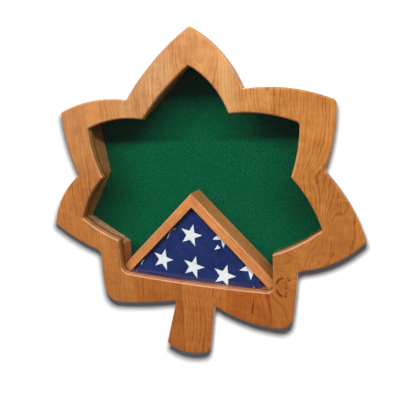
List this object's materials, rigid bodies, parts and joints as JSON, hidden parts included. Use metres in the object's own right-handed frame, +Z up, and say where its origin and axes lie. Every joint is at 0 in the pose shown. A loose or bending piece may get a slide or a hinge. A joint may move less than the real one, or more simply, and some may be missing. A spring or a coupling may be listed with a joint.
{
  "type": "folded flag display case",
  "caption": "Leaf shaped wooden wall case with a glazed front, green felt back and a triangular rail frame that holds a folded flag.",
  "frame": {"origin": "on the wall plane, level with the pivots of the two D rings and on the leaf's middle line", "axes": "+X to the right seen from the front, +Y into the wall, +Z up"},
  "size_m": [0.7139, 0.09, 0.7119],
  "materials": {
    "face_wood": "satin lacquered cherry",
    "box_wood": "satin lacquered cherry",
    "rail_wood": "satin lacquered cherry",
    "back_board": "smooth hardboard",
    "felt": "green felt",
    "flag_cloth": "woven cloth",
    "acrylic": "clear polished sheet",
    "button_zinc": "zinc plated",
    "screw_steel": "zinc plated",
    "hanger_steel": "nickel plated",
    "bumper_rubber": "matt"
  },
  "bodies": {
    "case": {"face_left": "face_wood", "face_upper_left": "face_wood", "face_lower_left": "face_wood", "face_crown": "face_wood", "face_stem": "face_wood", "face_upper_right": "face_wood", "face_lower_right": "face_wood", "face_right": "face_wood", "wall_crown_right": "box_wood", "wall_upper_top_right": "box_wood", "wall_upper_side_right": "box_wood", "wall_lower_top_right": "box_wood", "wall_lower_under_right": "box_wood", "wall_foot_right": "box_wood", "wall_sill": "box_wood", "wall_foot_left": "box_wood", "wall_lower_under_left": "box_wood", "wall_lower_top_left": "box_wood", "wall_upper_side_left": "box_wood", "wall_upper_top_left": "box_wood", "wall_crown_left": "box_wood", "flag_rail_left": "rail_wood", "flag_rail_right": "rail_wood", "glazing": "acrylic", "folded_flag": "flag_cloth", "wall_bumpers": "bumper_rubber", "button_screws": "screw_steel", "hanger_strap_left": "hanger_steel", "hanger_strap_right": "hanger_steel", "hanger_screws": "screw_steel", "rail_screws": "screw_steel"},
    "back": {"back_panel": "back_board", "felt_lining": "felt"},
    "turn_button_crown_right": {"turn_button_crown_right": "button_zinc"},
    "turn_button_lower_right": {"turn_button_lower_right": "button_zinc"},
    "turn_button_sill_right": {"turn_button_sill_right": "button_zinc"},
    "turn_button_sill_left": {"turn_button_sill_left": "button_zinc"},
    "turn_button_lower_left": {"turn_button_lower_left": "button_zinc"},
    "turn_button_crown_left": {"turn_button_crown_left": "button_zinc"},
    "hanger_ring_left": {"hanger_ring_left": "hanger_steel"},
    "hanger_ring_right": {"hanger_ring_right": "hanger_steel"}
  },
  "joints": [
    {"name": "back_lift_out", "type": "slide", "parent": "case", "child": "back", "axis": [0, 1, 0], "range_m": [0, 0.12]},
    {"name": "turn_crown_right", "type": "hinge", "parent": "case", "child": "turn_button_crown_right", "pos_m": [0.05958, -0.006, 0.16538], "axis": [0, 1, 0], "range_deg": [0, 90]},
    {"name": "turn_lower_right", "type": "hinge", "parent": "case", "child": "turn_button_lower_right", "pos_m": [0.27501, -0.006, -0.09722], "axis": [0, 1, 0], "range_deg": [0, 90]},
    {"name": "turn_sill_right", "type": "hinge", "parent": "case", "child": "turn_button_sill_right", "pos_m": [0.11774, -0.006, -0.31046], "axis": [0, 1, 0], "range_deg": [0, 90]},
    {"name": "turn_sill_left", "type": "hinge", "parent": "case", "child": "turn_button_sill_left", "pos_m": [-0.08516, -0.006, -0.30886], "axis": [0, 1, 0], "range_deg": [0, 90]},
    {"name": "turn_lower_left", "type": "hinge", "parent": "case", "child": "turn_button_lower_left", "pos_m": [-0.291, -0.006, -0.12156], "axis": [0, 1, 0], "range_deg": [0, 90]},
    {"name": "turn_crown_left", "type": "hinge", "parent": "case", "child": "turn_button_crown_left", "pos_m": [-0.05975, -0.006, 0.14631], "axis": [0, 1, 0], "range_deg": [0, 90]},
    {"name": "swing_ring_left", "type": "hinge", "parent": "case", "child": "hanger_ring_left", "pos_m": [-0.2561, -0.0038, 0], "axis": [0.9878, 0, 0.1556], "range_deg": [0, 180]},
    {"name": "swing_ring_right", "type": "hinge", "parent": "case", "child": "hanger_ring_right", "pos_m": [0.25573, -0.0038, 0], "axis": [0.9908, 0, -0.1355], "range_deg": [0, 180]}
  ]
}
